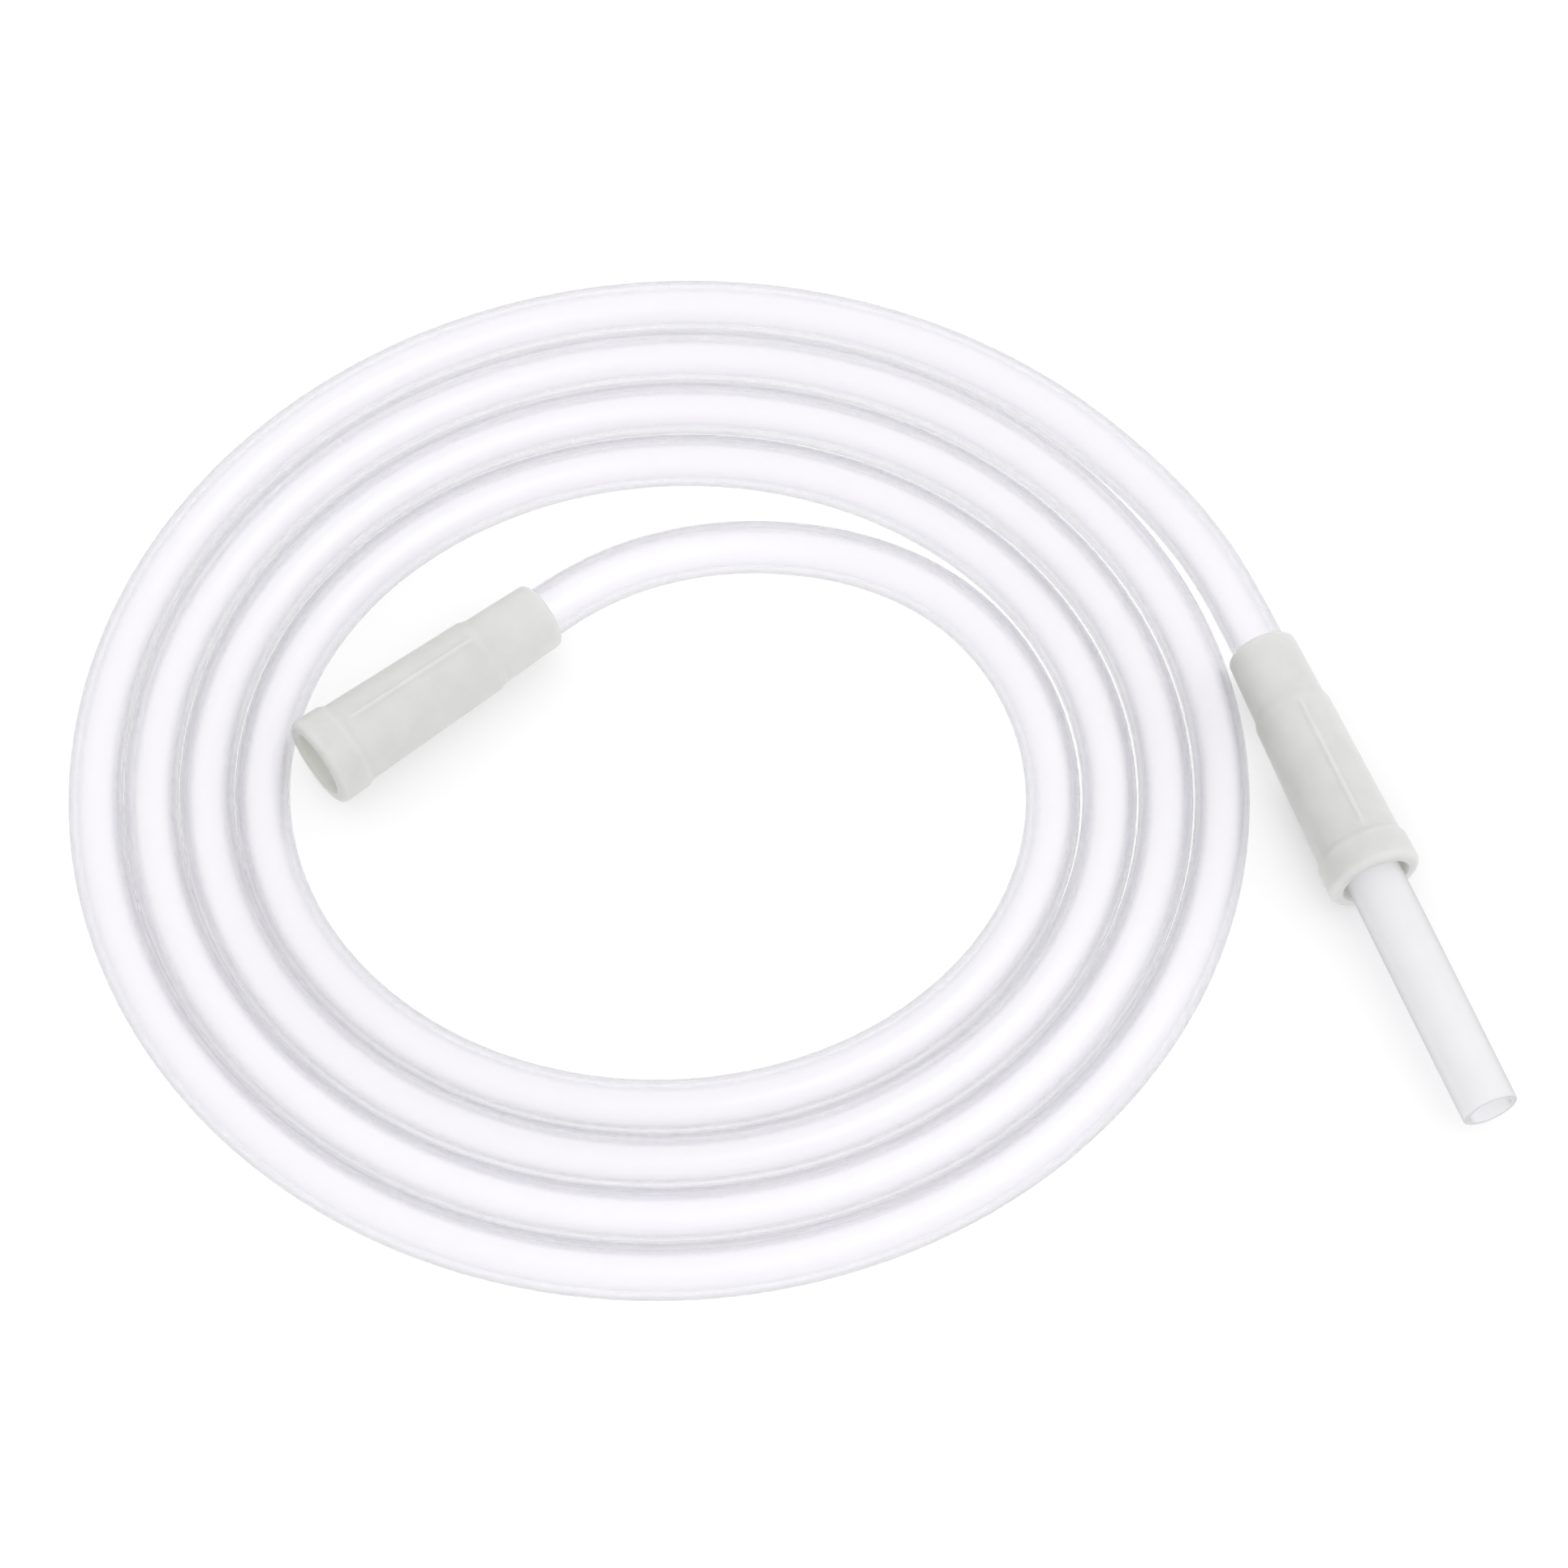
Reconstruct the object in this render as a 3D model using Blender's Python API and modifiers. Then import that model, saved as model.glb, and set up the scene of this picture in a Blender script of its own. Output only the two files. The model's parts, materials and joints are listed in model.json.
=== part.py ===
"""Suction tubing: a clear hose in a flat coil, a soft funnel on each end and a push-in adapter.

Metres, +Z up. The open funnel lies along X with its mouth towards -X. The piece rests on z = 0, and
its box is centred on the origin in plan.
"""

import math

import bmesh
import bpy
from mathutils import Matrix, Vector

MM = 0.001

# Hose
TUBE_OD = 8.0 * MM
TUBE_WALL = 1.2 * MM
# Two sides for each of these, and four more
TUBE_SIDE_PAIRS = 4

# Coil, an oval spiral measured at its inner end and wound outwards
TURNS = 4.03
INNER_HALF_WIDTH = 55.3 * MM
INNER_HALF_DEPTH = 49.1 * MM
INNER_END_ANGLE = math.radians(32.5)
POINTS_PER_TURN = 36

# Clear gaps between neighbouring turns on the coil's four sides
LEFT_GAP = 0.14 * MM
RIGHT_GAP = 0.26 * MM
FRONT_GAP = 0.14 * MM
BACK_GAP = 1.70 * MM

# Funnels, how far ahead of the coil's end each one's rear lies and how far it turns to the left.
# Each then lies a small gap from the turn of the coil beside it.
OPEN_AHEAD = 41.0 * MM
OPEN_TURN = math.radians(91.3)
ADAPTER_AHEAD = 15.4 * MM
ADAPTER_TURN = math.radians(-4.0)
COIL_GAP = 0.3 * MM

# Loose run, as shares of the way from the coil's inner end to the open funnel's rear
OPEN_RUN = [(0.22, 0.025), (0.44, 0.098), (0.654, 0.223), (0.834, 0.40), (0.951, 0.608), (1.0, 0.808)]
RISE_LENGTH = 46.0 * MM
RUN_STEP = 7.0 * MM

# Clearance between pieces that seat in each other
FIT_GAP = 0.3 * MM

# Funnel, lengths from its rear face and diameters
FUNNEL_LENGTH = 41.3 * MM
SLEEVE_LENGTH = 10.6 * MM
SHOULDER_LENGTH = 1.4 * MM
COLLAR_LENGTH = 4.8 * MM
COLLAR_STEP_LENGTH = 0.5 * MM
SLEEVE_REAR_OD = 10.5 * MM
SLEEVE_FRONT_OD = 11.0 * MM
BARREL_REAR_OD = 11.8 * MM
BARREL_FRONT_OD = 12.9 * MM
COLLAR_OD = 13.8 * MM
RIM_OD = 14.1 * MM
MOUTH_ID = 9.8 * MM
LIP_CHAMFER = 0.3 * MM
RIM_RADIUS = 1.0 * MM
REAR_RADIUS = 0.9 * MM
SOCKET_DEPTH = 12.0 * MM
WAIST_ID = 6.4 * MM
WAIST_LENGTH = 1.5 * MM
CONE_START_LENGTH = 1.5 * MM

# Both funnels lie on their rims, so this is how high their axes are
AXIS_HEIGHT = RIM_OD / 2

# Grip ribs along the barrel, above and below
RIB_WIDTH = 1.4 * MM
RIB_HEIGHT = 0.35 * MM
RIB_END_GAP = 0.8 * MM
RIB_SIDES = 12

# Push-in adapter, thickest in its middle
ADAPTER_MIDDLE_OD = 8.35 * MM
ADAPTER_END_OD = 8.15 * MM
ADAPTER_ID = 6.3 * MM
ADAPTER_INSERTION = 20.0 * MM
ADAPTER_VISIBLE = 38.3 * MM
ADAPTER_EDGE_RADIUS = 0.2 * MM

SHARP_ANGLE = math.radians(40)
TURNED_STEPS = 32
ARC_STEPS = 4
MERGE_DISTANCE = 0.01 * MM
TANGENT_STEP = 0.0001
SETTLE_STEPS = 24


def clear_scene():
    for old in list(bpy.data.objects):
        bpy.data.objects.remove(old, do_unlink=True)


def add_collection(name):
    collection = bpy.data.collections.new(name)
    bpy.context.scene.collection.children.link(collection)
    return collection


def plastic(name, color, roughness, transmission):
    """A moulded or extruded plastic that lets some light through."""
    material = bpy.data.materials.new(name)
    material.use_nodes = True
    shader = material.node_tree.nodes["Principled BSDF"]
    shader.inputs["Base Color"].default_value = (*color, 1.0)
    shader.inputs["Roughness"].default_value = roughness
    shader.inputs["Metallic"].default_value = 0.0
    shader.inputs["Transmission Weight"].default_value = transmission
    material.diffuse_color = (*color, 1.0)
    return material


def coil_point(turns):
    """The coil's centreline a number of turns out from its inner end, clockwise seen from above.

    An oval whose half width and half depth grow by one pitch a turn. Its centre drifts towards the
    back and the right, where the turns lie further apart.
    """
    side_pitch = TUBE_OD + (LEFT_GAP + RIGHT_GAP) / 2
    depth_pitch = TUBE_OD + (FRONT_GAP + BACK_GAP) / 2
    side_drift = (RIGHT_GAP - LEFT_GAP) / 2
    depth_drift = (BACK_GAP - FRONT_GAP) / 2
    angle = INNER_END_ANGLE - 2 * math.pi * turns
    across = (INNER_HALF_WIDTH + side_pitch * turns) * math.cos(angle)
    deep = (INNER_HALF_DEPTH + depth_pitch * turns) * math.sin(angle)
    return Vector((across + side_drift * turns, deep + depth_drift * turns))


def coil_stretch(first, last):
    """The coil's points from one number of turns to another."""
    steps = range(math.ceil(first * POINTS_PER_TURN), int(last * POINTS_PER_TURN) + 1)
    return [coil_point(step / POINTS_PER_TURN) for step in steps]


def coil_end(turns, way):
    """One end of the coil: its point, the way the hose leaves it and the direction to its left."""
    point = coil_point(turns)
    ahead = (coil_point(turns + way * TANGENT_STEP) - point).normalized()
    return point, ahead, Vector((-ahead.y, ahead.x))


def funnel_radius(along):
    """About how far a funnel's outside is from its axis, a distance in front of its rear face."""
    if along < SLEEVE_LENGTH:
        return SLEEVE_FRONT_OD / 2
    if along < barrel_ends()[1]:
        return BARREL_FRONT_OD / 2
    return RIM_OD / 2


def gap_beside(rear, direction, turn_points):
    """The smallest gap in space between a funnel and a turn of the coil that lies on the floor.

    It is measured from a core that lies one edge radius inside the funnel, which rounds its edges.
    """
    gaps = []
    for point in turn_points:
        along = (point - rear).dot(direction)
        aside = (point - rear).cross(direction)
        from_axis = math.hypot(aside, AXIS_HEIGHT - TUBE_OD / 2)
        past_end = max(0.0, RIM_RADIUS - along, along - FUNNEL_LENGTH + RIM_RADIUS)
        past_side = max(0.0, from_axis - funnel_radius(along) + RIM_RADIUS)
        gaps.append(math.hypot(past_end, past_side) - RIM_RADIUS - TUBE_OD / 2)
    return min(gaps)


def settled(near, far, direction, turn_points):
    """The rear point, on the way from a near to a far one, where a funnel just clears the coil."""
    for _ in range(SETTLE_STEPS):
        middle = (near + far) / 2
        if gap_beside(middle, direction, turn_points) < COIL_GAP:
            near = middle
        else:
            far = middle
    return far


def loose_run(end, run, rear, direction):
    """The hose's points from a coil end to a funnel's rear point, without the two ends."""
    point, ahead, left = end
    reach = rear - point
    places = [
        point + ahead * (reach.dot(ahead) * along) + left * (reach.dot(left) * aside)
        for along, aside in run
    ]
    guide = [point - ahead * RUN_STEP, point, *places, rear, rear + direction * RUN_STEP]
    return smooth_route(guide, RUN_STEP)[1:]


def smooth_route(points, step):
    """Points about a step apart on the smooth curve through all the points but the first and last."""
    route = []
    for start in range(1, len(points) - 2):
        p0, p1, p2, p3 = points[start - 1 : start + 3]
        count = max(1, round((p2 - p1).length / step))
        for index in range(count):
            t = index / count
            bend = (p0 * 2 - p1 * 5 + p2 * 4 - p3) * 0.5
            twist = (p1 * 3 - p0 - p2 * 3 + p3) * 0.5
            route.append(p1 + (p2 - p0) * (0.5 * t) + bend * t**2 + twist * t**3)
    return route


def hose_plan():
    """The hose's whole route seen from above, with the rear point and direction of both funnels."""
    coil = coil_stretch(0.0, TURNS)
    inner_end = coil_end(0.0, -1)
    outer_end = coil_end((len(coil) - 1) / POINTS_PER_TURN, 1)

    point, ahead, left = inner_end
    open_way = ahead * math.cos(OPEN_TURN) + left * math.sin(OPEN_TURN)
    beside_end = point + ahead * OPEN_AHEAD
    against_coil = beside_end + left * 2 * INNER_HALF_WIDTH
    open_rear = settled(against_coil, beside_end, open_way, coil_stretch(0.0, 1.0))

    point, ahead, left = outer_end
    adapter_way = ahead * math.cos(ADAPTER_TURN) + left * math.sin(ADAPTER_TURN)
    beside_end = point + ahead * ADAPTER_AHEAD
    on_coil = beside_end - left * TUBE_OD
    clear_of_coil = beside_end + left * RIM_OD
    next_turn = coil_stretch(TURNS - 1.5, TURNS - 0.5)
    adapter_rear = settled(on_coil, clear_of_coil, adapter_way, next_turn)

    open_run = loose_run(inner_end, OPEN_RUN, open_rear, open_way)
    adapter_run = loose_run(outer_end, [], adapter_rear, adapter_way)
    inserted = SOCKET_DEPTH - FIT_GAP
    route = [open_rear + open_way * inserted, open_rear, *reversed(open_run), *coil]
    route += [*adapter_run, adapter_rear, adapter_rear + adapter_way * inserted]
    return route, (open_rear, open_way), (adapter_rear, adapter_way)


def height_at(distance):
    """The centreline's height at a distance from the nearer funnel's rear face."""
    share = min(max(1 - distance / RISE_LENGTH, 0.0), 1.0)
    lift = share * share * (3 - 2 * share)
    return TUBE_OD / 2 + (AXIS_HEIGHT - TUBE_OD / 2) * lift


def raised(route):
    """The route in space: on the floor along the coil, rising to the axis of each funnel."""
    lengths = [0.0]
    for before, after in zip(route, route[1:]):
        lengths.append(lengths[-1] + (after - before).length)
    inserted = SOCKET_DEPTH - FIT_GAP
    last_rear = lengths[-1] - inserted
    points = []
    for point, length in zip(route, lengths):
        distance = max(0.0, min(length - inserted, last_rear - length))
        points.append(Vector((point.x, point.y, height_at(distance))))
    return points


def add_hose(points, collection, material):
    """The hose: a round bevel along its route, made an open skin, with its wall inside the skin."""
    curve = bpy.data.curves.new("tubing_route", "CURVE")
    curve.dimensions = "3D"
    curve.bevel_depth = TUBE_OD / 2
    curve.bevel_resolution = TUBE_SIDE_PAIRS
    curve.use_fill_caps = False
    spline = curve.splines.new("POLY")
    spline.points.add(len(points) - 1)
    for knot, point in zip(spline.points, points):
        knot.co = (*point, 1.0)
    guide = bpy.data.objects.new("tubing_guide", curve)
    collection.objects.link(guide)
    bpy.context.view_layer.update()
    evaluated = guide.evaluated_get(bpy.context.evaluated_depsgraph_get())
    skin = bpy.data.meshes.new_from_object(evaluated)
    bpy.data.objects.remove(guide, do_unlink=True)
    skin.name = "tubing"
    weld(skin)
    hose = add_object("tubing", skin, collection, material)
    wall = hose.modifiers.new("Wall", "SOLIDIFY")
    wall.thickness = TUBE_WALL
    wall.offset = -1.0
    wall.use_even_offset = True
    return hose


def weld(mesh):
    """Joins the seams of a mesh and turns its faces outwards."""
    work = bmesh.new()
    work.from_mesh(mesh)
    bmesh.ops.remove_doubles(work, verts=work.verts, dist=MERGE_DISTANCE)
    bmesh.ops.recalc_face_normals(work, faces=work.faces)
    work.to_mesh(mesh)
    work.free()


def add_object(name, mesh, collection, material):
    mesh.materials.clear()
    mesh.materials.append(material)
    mesh.shade_smooth()
    mesh.set_sharp_from_angle(angle=SHARP_ANGLE)
    piece = bpy.data.objects.new(name, mesh)
    collection.objects.link(piece)
    return piece


def rounded(outline):
    """The outline's points, with each corner that has a radius replaced by an arc."""
    points = []
    for index, (radius, height, fillet) in enumerate(outline):
        corner = Vector((radius, height))
        if not fillet:
            points.append(corner)
            continue
        before = (Vector(outline[index - 1][:2]) - corner).normalized()
        after = (Vector(outline[(index + 1) % len(outline)][:2]) - corner).normalized()
        half = before.angle(after) / 2
        centre = corner + (before + after).normalized() * (fillet / math.sin(half))
        first = corner + before * (fillet / math.tan(half)) - centre
        last = corner + after * (fillet / math.tan(half)) - centre
        sweep = -first.angle_signed(last)
        for step in range(ARC_STEPS + 1):
            points.append(centre + Matrix.Rotation(sweep * step / ARC_STEPS, 2) @ first)
    return points


def turned(name, outline, collection, material):
    """A closed outline of radius, height and corner radius, turned round Z."""
    points = rounded(outline)
    mesh = bpy.data.meshes.new(name)
    corners = [(point.x, 0.0, point.y) for point in points]
    edges = [(index, (index + 1) % len(points)) for index in range(len(points))]
    mesh.from_pydata(corners, edges, [])
    piece = add_object(name, mesh, collection, material)
    screw = piece.modifiers.new("Turn", "SCREW")
    screw.axis = "Z"
    screw.angle = 2 * math.pi
    screw.steps = TURNED_STEPS
    screw.render_steps = TURNED_STEPS
    screw.use_merge_vertices = True
    screw.merge_threshold = MERGE_DISTANCE
    screw.use_smooth_shade = True
    return piece


def barrel_ends():
    """How far the barrel's rear and front ends are from the funnel's rear face."""
    return SLEEVE_LENGTH + SHOULDER_LENGTH, FUNNEL_LENGTH - COLLAR_LENGTH - COLLAR_STEP_LENGTH


def funnel_outline():
    """The funnel's section from its mouth down the outside and back up the bore."""
    barrel_rear, barrel_front = barrel_ends()
    waist_end = SOCKET_DEPTH + WAIST_LENGTH
    seat = FUNNEL_LENGTH - ADAPTER_INSERTION
    seat_radius = ADAPTER_END_OD / 2 + FIT_GAP
    socket_radius = TUBE_OD / 2 + FIT_GAP
    return [
        (MOUTH_ID / 2 + LIP_CHAMFER, FUNNEL_LENGTH, 0),
        (RIM_OD / 2, FUNNEL_LENGTH, RIM_RADIUS),
        (COLLAR_OD / 2, barrel_front + COLLAR_STEP_LENGTH, 0),
        (BARREL_FRONT_OD / 2, barrel_front, 0),
        (BARREL_REAR_OD / 2, barrel_rear, 0),
        (SLEEVE_FRONT_OD / 2, SLEEVE_LENGTH, 0),
        (SLEEVE_REAR_OD / 2, 0, REAR_RADIUS),
        (socket_radius, 0, 0),
        (socket_radius, SOCKET_DEPTH, 0),
        (WAIST_ID / 2, SOCKET_DEPTH, 0),
        (WAIST_ID / 2, waist_end, 0),
        (seat_radius, waist_end + CONE_START_LENGTH, 0),
        (seat_radius, seat, 0),
        (MOUTH_ID / 2, FUNNEL_LENGTH - LIP_CHAMFER, 0),
    ]


def add_rib(name, side, cutters):
    """A slim half-sunk rod that follows the barrel's slope on one side of it."""
    barrel_rear, barrel_front = barrel_ends()
    slope = (BARREL_FRONT_OD - BARREL_REAR_OD) / 2 / (barrel_front - barrel_rear)
    sunk = RIB_WIDTH / 2 - RIB_HEIGHT
    start_radius = BARREL_REAR_OD / 2 + slope * RIB_END_GAP - sunk
    end_radius = BARREL_FRONT_OD / 2 - slope * RIB_END_GAP - sunk
    start = Vector((0.0, side * start_radius, barrel_rear + RIB_END_GAP))
    end = Vector((0.0, side * end_radius, barrel_front - RIB_END_GAP))
    mesh = bpy.data.meshes.new(name)
    work = bmesh.new()
    bmesh.ops.create_cone(
        work,
        cap_ends=True,
        segments=RIB_SIDES,
        radius1=RIB_WIDTH / 2,
        radius2=RIB_WIDTH / 2,
        depth=(end - start).length,
    )
    work.to_mesh(mesh)
    work.free()
    rib = bpy.data.objects.new(name, mesh)
    rib.location = (start + end) / 2
    rib.rotation_mode = "QUATERNION"
    rib.rotation_quaternion = (end - start).to_track_quat("Z", "X")
    rib.hide_render = True
    rib.display_type = "WIRE"
    cutters.objects.link(rib)
    return rib


def add_funnel(name, rear, direction, collections, material):
    """A funnel on its axis: origin at its rear face, +Z out of its mouth, +Y up."""
    parts, cutters = collections
    funnel = turned(name, funnel_outline(), parts, material)
    for label, side in (("upper", 1), ("lower", -1)):
        rib = add_rib(f"{name}_{label}_rib", side, cutters)
        rib.parent = funnel
        join = funnel.modifiers.new(f"{label} rib", "BOOLEAN")
        join.operation = "UNION"
        join.solver = "EXACT"
        join.object = rib
    place_on_axis(funnel, rear, direction)
    return funnel


def add_adapter(rear, direction, collection, material):
    """The adapter: a hollow tube that thins to both ends, pushed into the funnel's mouth."""
    length = ADAPTER_INSERTION + ADAPTER_VISIBLE
    outline = [
        (ADAPTER_ID / 2, length, 0),
        (ADAPTER_END_OD / 2, length, ADAPTER_EDGE_RADIUS),
        (ADAPTER_MIDDLE_OD / 2, length / 2, 0),
        (ADAPTER_END_OD / 2, 0, ADAPTER_EDGE_RADIUS),
        (ADAPTER_ID / 2, 0, 0),
    ]
    adapter = turned("male_adapter", outline, collection, material)
    inner_end = rear + direction * (FUNNEL_LENGTH - ADAPTER_INSERTION)
    place_on_axis(adapter, inner_end, direction)
    return adapter


def place_on_axis(piece, point, direction):
    """Lays a turned piece level at the funnels' height, its +Z along a direction in plan."""
    along = Vector((*direction, 0.0))
    up = Vector((0.0, 0.0, 1.0))
    turn = Matrix((up.cross(along), up, along)).transposed()
    piece.rotation_mode = "QUATERNION"
    piece.rotation_quaternion = turn.to_quaternion()
    piece.location = (*point, AXIS_HEIGHT)


def centre_on_origin(pieces, root):
    """Moves the whole piece so that its box is centred on the origin in plan."""
    bpy.context.view_layer.update()
    graph = bpy.context.evaluated_depsgraph_get()
    lowest = Vector((math.inf, math.inf))
    highest = Vector((-math.inf, -math.inf))
    for piece in pieces:
        evaluated = piece.evaluated_get(graph)
        for vertex in evaluated.data.vertices:
            point = evaluated.matrix_world @ vertex.co
            lowest = Vector(map(min, lowest, point))
            highest = Vector(map(max, highest, point))
    middle = (lowest + highest) / 2
    root.location = (-middle.x, -middle.y, 0.0)


def main():
    clear_scene()
    parts = add_collection("suction_tubing")
    cutters = add_collection("suction_tubing_helpers")
    cutters.hide_render = True

    clear_pvc = plastic("clear_pvc", (0.90, 0.90, 0.95), 0.12, 0.85)
    milky_pvc = plastic("milky_pvc", (0.84, 0.85, 0.83), 0.38, 0.15)
    frosted_plastic = plastic("frosted_plastic", (0.90, 0.90, 0.91), 0.25, 0.55)

    route, open_seat, adapter_seat = hose_plan()
    facing = Vector((-1.0, 0.0)).angle_signed(open_seat[1])
    turn = Matrix.Rotation(facing, 2)
    route = [turn @ point for point in route]
    open_rear, open_direction = (turn @ value for value in open_seat)
    adapter_rear, adapter_direction = (turn @ value for value in adapter_seat)

    root = bpy.data.objects.new("suction_tubing_origin", None)
    parts.objects.link(root)
    both = (parts, cutters)
    pieces = [
        add_hose(raised(route), parts, clear_pvc),
        add_funnel("open_funnel", open_rear, open_direction, both, milky_pvc),
        add_funnel("adapter_funnel", adapter_rear, adapter_direction, both, milky_pvc),
        add_adapter(adapter_rear, adapter_direction, parts, frosted_plastic),
    ]
    for piece in pieces:
        piece.parent = root
    centre_on_origin(pieces, root)


main()
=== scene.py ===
"""Suction tubing: a clear hose coiled flat, a milky funnel on each end and a push-in adapter.

It is laid out as an add-on and run as a script. Each piece lies over the fixed model that is
loaded first, in metres, with +Z up.
"""

import json
import math

import bpy
import numpy as np
from bpy.props import FloatProperty, FloatVectorProperty, IntProperty, PointerProperty
from bpy.types import Operator, Panel, PropertyGroup
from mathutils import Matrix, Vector


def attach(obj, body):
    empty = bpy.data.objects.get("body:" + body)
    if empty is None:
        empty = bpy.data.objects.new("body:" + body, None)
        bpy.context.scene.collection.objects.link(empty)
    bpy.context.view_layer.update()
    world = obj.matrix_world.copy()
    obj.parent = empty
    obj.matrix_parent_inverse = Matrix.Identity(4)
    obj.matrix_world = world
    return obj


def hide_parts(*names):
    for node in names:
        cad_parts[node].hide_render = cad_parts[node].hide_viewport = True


bl_info = {
    "name": "Suction Tubing",
    "version": (1, 0, 0),
    "blender": (4, 5, 0),
    "location": "3D View > Sidebar > Tubing",
    "description": "Builds a coiled suction hose with its funnels and its push-in adapter",
    "category": "Add Mesh",
}

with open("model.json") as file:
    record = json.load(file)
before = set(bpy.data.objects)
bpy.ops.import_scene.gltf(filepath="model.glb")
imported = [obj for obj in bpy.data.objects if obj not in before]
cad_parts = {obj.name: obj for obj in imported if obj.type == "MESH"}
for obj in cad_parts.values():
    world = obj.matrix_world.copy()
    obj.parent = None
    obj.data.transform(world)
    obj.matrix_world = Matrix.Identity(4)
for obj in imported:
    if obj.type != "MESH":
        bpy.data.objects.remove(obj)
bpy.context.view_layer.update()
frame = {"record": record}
MOUNTS = {mount["name"]: mount for mount in frame["record"]["mounts"]}

MM = 0.001
SHARP_ANGLE = math.radians(32)

# Sockets of a Mix node that mixes colours
MIX_A, MIX_B, MIX_RESULT = 6, 7, 2

# The coil ends on a whole thirty-sixth of a turn, and is first drawn with a point for each degree.
# The direction of its end is taken over a small part of a turn.
COIL_PARTS = 36
COIL_SAMPLES = 360
TURN_STEP = 0.0001

# Loose run, as shares of the way from the coil's inner end to the open funnel's rear
OPEN_RUN = np.array(
    [(0.22, 0.025), (0.44, 0.098), (0.654, 0.223), (0.834, 0.40), (0.951, 0.608), (1.0, 0.808)]
)

# How far past its ends a run is guided, and over how many rings the whole path is smoothed
END_STEP = 7.0 * MM
PATH_SPREAD = 1.6

# How uneven the draw leaves the wall: the sizes of its swings, and how far along the hose each
# takes to turn through one radian
OUTER_SWING, SLOW_REACH, QUICK_REACH, QUICK_START = 0.008 * MM, 47 * MM, 19 * MM, 1.3
BORE_SWING, BORE_REACH = 0.015 * MM, 31 * MM
SHIFT_SWING, SHIFT_REACH = 0.04 * MM, 83 * MM


def linear(hex_color):
    """The linear colour of an sRGB hex colour.

    Each channel c is c / 12.92 when it is dark, and else ((c + 0.055) / 1.055)^2.4.
    """
    parts = np.array([int(hex_color[place : place + 2], 16) for place in (0, 2, 4)]) / 255
    return tuple(np.where(parts <= 0.04045, parts / 12.92, ((parts + 0.055) / 1.055) ** 2.4))


def length_property(name, description, default_mm):
    """A length that a user can change, with its default given in millimetres."""
    return FloatProperty(
        name=name, description=description, default=default_mm * MM, min=0.0, unit="LENGTH",
        precision=5,
    )


def angle_property(name, description, default_degrees):
    """An angle that a user can change, with its default given in degrees."""
    return FloatProperty(
        name=name, description=description, default=math.radians(default_degrees), subtype="ANGLE"
    )


def color_property(name, description, hex_color):
    """A colour that a user can change, with its default given as an sRGB hex colour."""
    return FloatVectorProperty(
        name=name, description=description, default=linear(hex_color), subtype="COLOR", min=0.0,
        max=1.0,
    )


class HoseSettings(PropertyGroup):
    diameter: length_property("Diameter", "Outside diameter of the hose", 8.0)
    wall: length_property("Wall", "Thickness of the hose's wall", 1.2)
    turns: FloatProperty(name="Turns", description="Turns in the coil", default=4.03, min=1.0)
    half_width: length_property("Half width", "Half the width of the innermost turn", 55.3)
    half_depth: length_property("Half depth", "Half the depth of the innermost turn", 49.1)
    side_pitch: length_property("Side pitch", "Growth of the half width in one turn", 8.2)
    depth_pitch: length_property("Depth pitch", "Growth of the half depth in one turn", 8.92)
    side_drift: length_property("Side drift", "Shift of the centre to the right in one turn", 0.06)
    depth_drift: length_property("Depth drift", "Shift of the centre to the back in one turn", 0.78)
    inner_end_angle: angle_property("Inner end", "Angle where the coil ends inside", 32.5)
    facing: angle_property("Facing", "Turn of the coil's own width from X", -38.5749)
    centre: FloatVectorProperty(
        name="Centre", description="Centre of the coil in plan", size=2, unit="LENGTH",
        default=(-4.0990 * MM, 12.4483 * MM),
    )
    rise: length_property("Rise", "Length over which the hose rises to a funnel's axis", 46.0)
    ring_spacing: length_property("Ring spacing", "Distance between rings of the mesh", 2.4)
    sides: IntProperty(name="Sides", description="Sides of one ring", default=60, min=8)
    line_length: length_property("Line length", "Length of the faint lines along the hose", 160.0)
    line_spacing: length_property("Line spacing", "Distance between those lines", 0.6)
    tint: color_property("Tint", "Colour of the clear PVC looked straight at", "FCFBFE")
    # The wall and outline colours below darken the hose towards its outline: partly the PVC's depth
    # colour, mostly painted shade.
    wall_shade_tint: color_property("Wall tint", "Colour of the clear PVC through its wall", "FBFAFD")
    limb_shade_tint: color_property("Limb tint", "Colour of the clear PVC at its outline", "E6E5EB")
    light_tint: color_property("Light tint", "Colour of the light that it lets through", "FEFEFE")


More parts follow.
